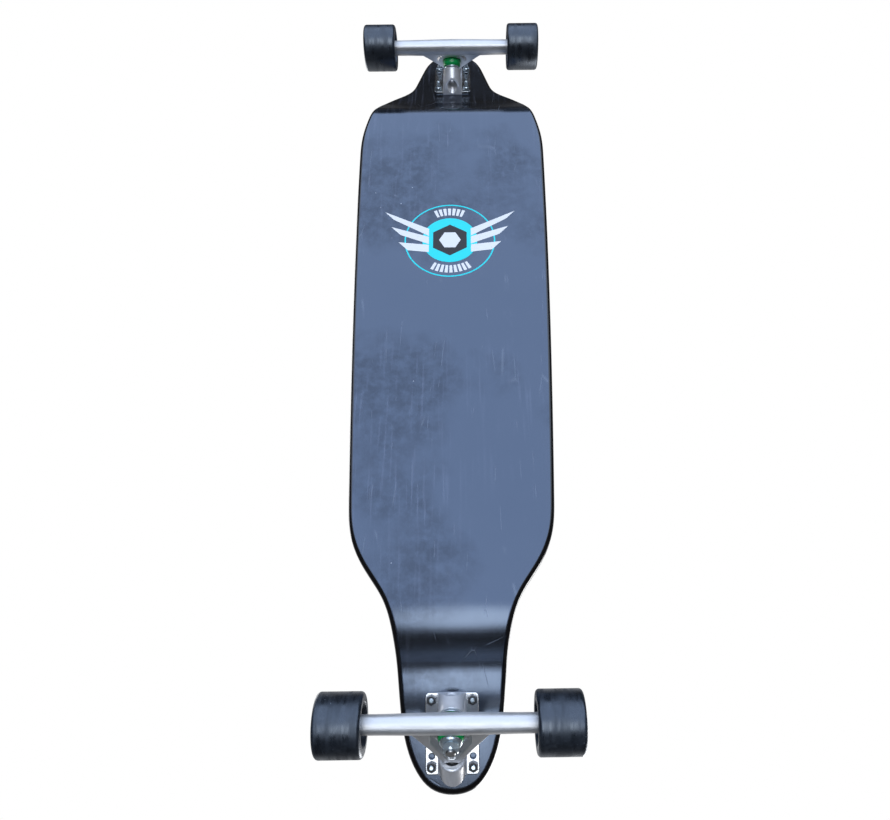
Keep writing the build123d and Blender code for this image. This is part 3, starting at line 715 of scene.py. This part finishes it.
# ------------------------------------------------------------------ CAD nodes that keep their own shape
LOOKS = {"pivot_cup": (CUP, "pivot_cup"), "kingpin_nut": (ZINC, "zinc_hardware"),
         "axle": (STEEL, "axle_steel"), "lock_nuts": (ZINC, "zinc_hardware"),
         "spacers": (BEARING, "bearing_steel"), "speed_washers": (ZINC, "zinc_hardware"),
         "axle_nuts": (ZINC, "zinc_hardware")}
WHEEL_LOOKS = {"core": (PLASTIC, "core_plastic"), "bearing_outers": (BEARING, "bearing_steel"),
               "bearing_balls": (BEARING, "bearing_steel"), "bearing_inners": (BEARING, "bearing_steel")}


def dress(node, material):
    """Gives a CAD node its material."""
    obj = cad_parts[node]
    obj.data.materials.clear()
    obj.data.materials.append(material)


def dress_end(end):
    """Dresses one truck's kept nodes and its wheels. The rear lock nuts get a darker copy of the zinc, which
    is painted shade on the same nuts.
    """
    for part, (material, slot_name) in LOOKS.items():
        # painted shade: the rear lock nuts get the darker copy of the zinc
        painted_shade_nuts = end == "rear" and part == "lock_nuts"
        dress(f"{end}_{part}", PAINTED_SHADE_ZINC if painted_shade_nuts else material)
    for side in SIDES:
        for part, (material, slot_name) in WHEEL_LOOKS.items():
            dress(f"{end}_{side}_{part}", material)


# ------------------------------------------------------------------ world, lights, floor, camera
def build_world():
    """White where the camera sees it. For light, a dim horizon, a bright sky below and a grey one above."""
    world = bpy.data.worlds.new("studio_sky")
    bpy.context.scene.world = world
    world.use_nodes = True
    tree = world.node_tree
    tree.nodes.clear()

    def put(socket, value):
        if isinstance(value, bpy.types.NodeSocket):
            tree.links.new(value, socket)
        else:
            socket.default_value = value

    def node(kind, inputs=None, output=0, **props):
        n = tree.nodes.new(kind)
        for key, value in props.items():
            setattr(n, key, value)
        for key, value in (inputs or {}).items():
            put(n.inputs[key], value)
        return n.outputs[output]

    def ramp(value, low, high):
        inputs = {"Value": value, "From Min": low, "From Max": high}
        return node("ShaderNodeMapRange", inputs, interpolation_type="SMOOTHSTEP")

    def slide(value, start, end):
        return node("ShaderNodeMapRange", {"Value": value, "To Min": start, "To Max": end})

    def blend(fac, a, b):
        n = tree.nodes.new("ShaderNodeMix")
        n.data_type = "RGBA"
        for key, value in ((0, fac), (6, a), (7, b)):
            put(n.inputs[key], value)
        return n.outputs[2]

    coords = node("ShaderNodeTexCoord", output="Generated")
    y, z = (node("ShaderNodeSeparateXYZ", {0: coords}, output=axis) for axis in "YZ")
    down = node("ShaderNodeMath", {0: z, 1: -1.0}, operation="MULTIPLY")
    # The sky below reaches further up towards the nose than towards the tail.
    noseward = ramp(y, 0.05, 0.5)
    sky = ramp(down, slide(noseward, 0.78, 0.28), slide(noseward, 0.95, 0.46))
    # A brighter patch in it makes the band on the rear slope.
    to_patch = (0.0, -0.30, -0.954)
    nearness = node("ShaderNodeVectorMath", {0: coords, 1: to_patch}, output="Value", operation="DOT_PRODUCT")
    patch = ramp(nearness, math.cos(math.radians(21)), math.cos(math.radians(4)))
    colour = blend(sky, rgb(0.045, 0.042, 0.040), rgb(1.22, 1.46, 1.90))
    colour = blend(patch, colour, rgb(3.5, 3.7, 3.9))
    colour = blend(ramp(z, 0.30, 0.85), colour, rgb(0.50, 0.51, 0.53))
    light = node("ShaderNodeBackground", {"Color": colour, "Strength": 1.0})
    white = node("ShaderNodeBackground", {"Color": rgb(1, 1, 1), "Strength": 1.0})
    seen = node("ShaderNodeLightPath", output="Is Camera Ray")
    pick = node("ShaderNodeMixShader", {0: seen, 1: light, 2: white})
    tree.links.new(pick, tree.nodes.new("ShaderNodeOutputWorld").inputs[0])


def soft_light(name, place, size, power):
    """A round area light that faces the origin, which is on the ground under the board."""
    data = bpy.data.lights.new(name, "AREA")
    data.shape = "DISK"
    data.size = size
    data.energy = power
    obj = linked(name, data)
    obj.location = place
    obj.rotation_euler = (-Vector(place)).to_track_quat("-Z", "Y").to_euler()


def build_floor():
    """Pale floor under the wheels, for views from above: it is open to light and sight from below."""
    half = 6.0
    corners = [(-half, -half, 0), (half, -half, 0), (half, half, 0), (-half, half, 0)]
    mesh = bpy.data.meshes.new("floor")
    mesh.from_pydata(corners, [], [(0, 1, 2, 3)])
    floor = linked("floor", mesh)
    mat = bpy.data.materials.new("floor")
    mat.use_nodes = True
    tree = mat.node_tree
    bsdf = tree.nodes["Principled BSDF"]
    bsdf.inputs["Base Color"].default_value = rgb(0.46, 0.46, 0.46)
    bsdf.inputs["Emission Color"].default_value = rgb(1.0, 1.0, 1.0)
    bsdf.inputs["Emission Strength"].default_value = 0.55
    bsdf.inputs["Roughness"].default_value = 0.9
    bsdf.inputs["Specular IOR Level"].default_value = 0.0
    side = tree.nodes.new("ShaderNodeNewGeometry")
    clear = tree.nodes.new("ShaderNodeBsdfTransparent")
    pick = tree.nodes.new("ShaderNodeMixShader")
    tree.links.new(side.outputs["Backfacing"], pick.inputs[0])
    tree.links.new(bsdf.outputs[0], pick.inputs[1])
    tree.links.new(clear.outputs[0], pick.inputs[2])
    tree.links.new(pick.outputs[0], tree.nodes["Material Output"].inputs[0])
    mesh.materials.append(mat)
    for flag in ("visible_diffuse", "visible_glossy", "visible_transmission", "visible_volume_scatter",
                 "visible_shadow"):
        setattr(floor, flag, False)


def build_camera():
    """The photograph's viewpoint: under the board, behind its tail, looking up towards the nose."""
    pitch, yaw, roll = 0.428, 0.003, -0.013
    place = Vector((-25.613, -48.34 + REAR_AXLE, MOUNT_Z - 785.686))
    ahead = Vector((0, math.sin(pitch), math.cos(pitch)))
    above = Vector((0, math.cos(pitch), -math.sin(pitch)))
    right = Vector((-1, 0, 0))
    ahead, right = (ahead * math.cos(yaw) + right * math.sin(yaw),
                    right * math.cos(yaw) - ahead * math.sin(yaw))
    right, above = (right * math.cos(roll) + above * math.sin(roll),
                    above * math.cos(roll) - right * math.sin(roll))
    data = bpy.data.cameras.new("camera")
    data.sensor_fit = "HORIZONTAL"
    data.sensor_width = 36.0
    data.lens = 29.5706
    data.shift_x = -0.03528
    data.shift_y = 0.04161
    data.clip_start = 0.01
    camera = linked("camera", data)
    turn = Matrix((right, above, -ahead)).transposed()
    camera.matrix_world = Matrix.Translation(place * MM) @ turn.to_4x4()
    bpy.context.scene.camera = camera


build_deck()
dress("grip_tape", GRIP_MAT)
for end in ENDS:
    build_hanger(end)
    build_baseplate(end)
    build_truck_details(end)
    for side in SIDES:
        build_tyre(end, side)
    dress_end(end)
build_emblem()

build_world()
build_floor()
soft_light("key", (-1.2, -1.0, 1.9), 1.6, 34)
soft_light("fill", (1.6, 0.9, 1.5), 1.8, 20)
build_camera()
